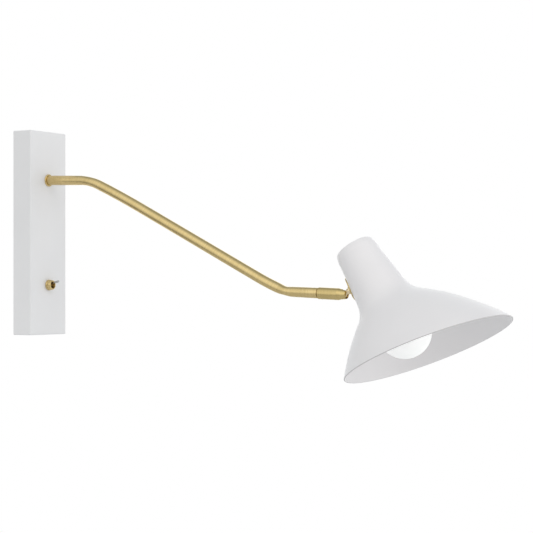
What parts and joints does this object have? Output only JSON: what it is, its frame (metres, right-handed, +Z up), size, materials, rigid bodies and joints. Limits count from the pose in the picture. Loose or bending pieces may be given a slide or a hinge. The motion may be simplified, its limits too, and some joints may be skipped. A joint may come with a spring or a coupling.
{
  "type": "swing arm wall sconce",
  "caption": "Wall light with a toggle switch: a shallow box carries a bent brass arm that swings in a collar, and a slotted ball knuckle aims a spun shade with an oblique mouth.",
  "frame": {"origin": "centre of the wall box's back, on the wall's surface", "axes": "+X along the wall, +Y into the wall, +Z up; the arm stands out along -Y"},
  "size_m": [0.1925, 0.6448, 0.3014],
  "materials": {
    "white_coat": "satin white powder coat",
    "white_shade": "matt white paint on spun sheet",
    "white_coat_screw": "white painted screw",
    "steel": "zinc plated",
    "lever_steel": "satin nickel",
    "dark_steel": "black oxide",
    "green_steel": "green ground screw",
    "brass": "satin brushed brass, lacquered",
    "raw_brass": "turned brass, unlacquered",
    "aluminium": "rolled aluminium",
    "black_plastic": "moulded phenolic",
    "white_plastic": "moulded nylon and glazed ceramic white",
    "black_wire": "PVC insulation",
    "green_wire": "PVC insulation",
    "clear_wire": "two-core PVC lead",
    "black_glass": "vitrite insulator",
    "frosted_glass": "frosted white lamp glass"
  },
  "bodies": {
    "wall_base": {"wall_box": "white_coat", "mounting_bracket": "steel", "cover_screws": "white_coat_screw", "ground_screw": "green_steel", "arm_support_plate": "steel", "arm_stop_pin": "steel", "swivel_collar": "brass", "collar_nut": "steel", "terminal_block": "white_plastic", "terminal_screws": "steel", "switch_body": "black_plastic", "switch_terminals": "raw_brass", "switch_bushing": "brass", "switch_nut": "brass", "switch_dress_nut": "brass", "switch_lead_in": "black_wire", "switch_lead_out": "black_wire", "ground_lead": "green_wire", "box_lead": "clear_wire"},
    "toggle": {"switch_lever": "lever_steel"},
    "arm": {"arm_tube": "brass", "arm_spigot": "raw_brass", "friction_washer": "white_plastic", "spring_washer": "steel", "stop_washer": "steel", "arm_locknuts": "raw_brass", "knuckle_nipple": "raw_brass", "arm_lead": "clear_wire"},
    "knuckle": {"knuckle_sleeve": "brass", "sleeve_grub_screw": "dark_steel", "knuckle_spring": "steel", "ball_seat": "white_plastic"},
    "ball": {"swivel_ball": "brass"},
    "head": {"ball_stem": "brass", "saddle_plate": "brass", "shade": "white_shade", "stem_spacer": "steel", "stem_lock_washer": "steel", "stem_nut": "steel", "holder_bracket": "steel", "holder_nipple": "steel", "holder_nut": "steel", "lampholder_body": "white_plastic", "screw_shell": "aluminium", "centre_contact": "raw_brass", "head_lead": "clear_wire", "bulb_contact": "steel", "bulb_insulator": "black_glass", "bulb_cap": "aluminium", "bulb_glass": "frosted_glass"}
  },
  "joints": [
    {"name": "arm_swing", "type": "hinge", "parent": "wall_base", "child": "arm", "pos_m": [0, -0.025, 0.06615], "axis": [0, -1, 0], "range_deg": [-155, 155]},
    {"name": "knuckle_turn", "type": "hinge", "parent": "arm", "child": "knuckle", "pos_m": [0, -0.42462, -0.07468], "axis": [0, -0.9991, -0.0422], "range_deg": [-155, 155]},
    {"name": "ball_tilt", "type": "hinge", "parent": "knuckle", "child": "ball", "pos_m": [0, -0.4503, -0.07577], "axis": [0.9978, 0.0028, -0.0656], "range_deg": [-55, 48]},
    {"name": "head_spin", "type": "hinge", "parent": "ball", "child": "head", "pos_m": [0, -0.4503, -0.07577], "axis": [0.0326, -0.8878, 0.4591], "range_deg": [-80, 80]},
    {"name": "switch_toggle", "type": "hinge", "parent": "wall_base", "child": "toggle", "pos_m": [0, -0.0262, -0.0648], "axis": [1, 0, 0], "range_deg": [0, 30]}
  ]
}
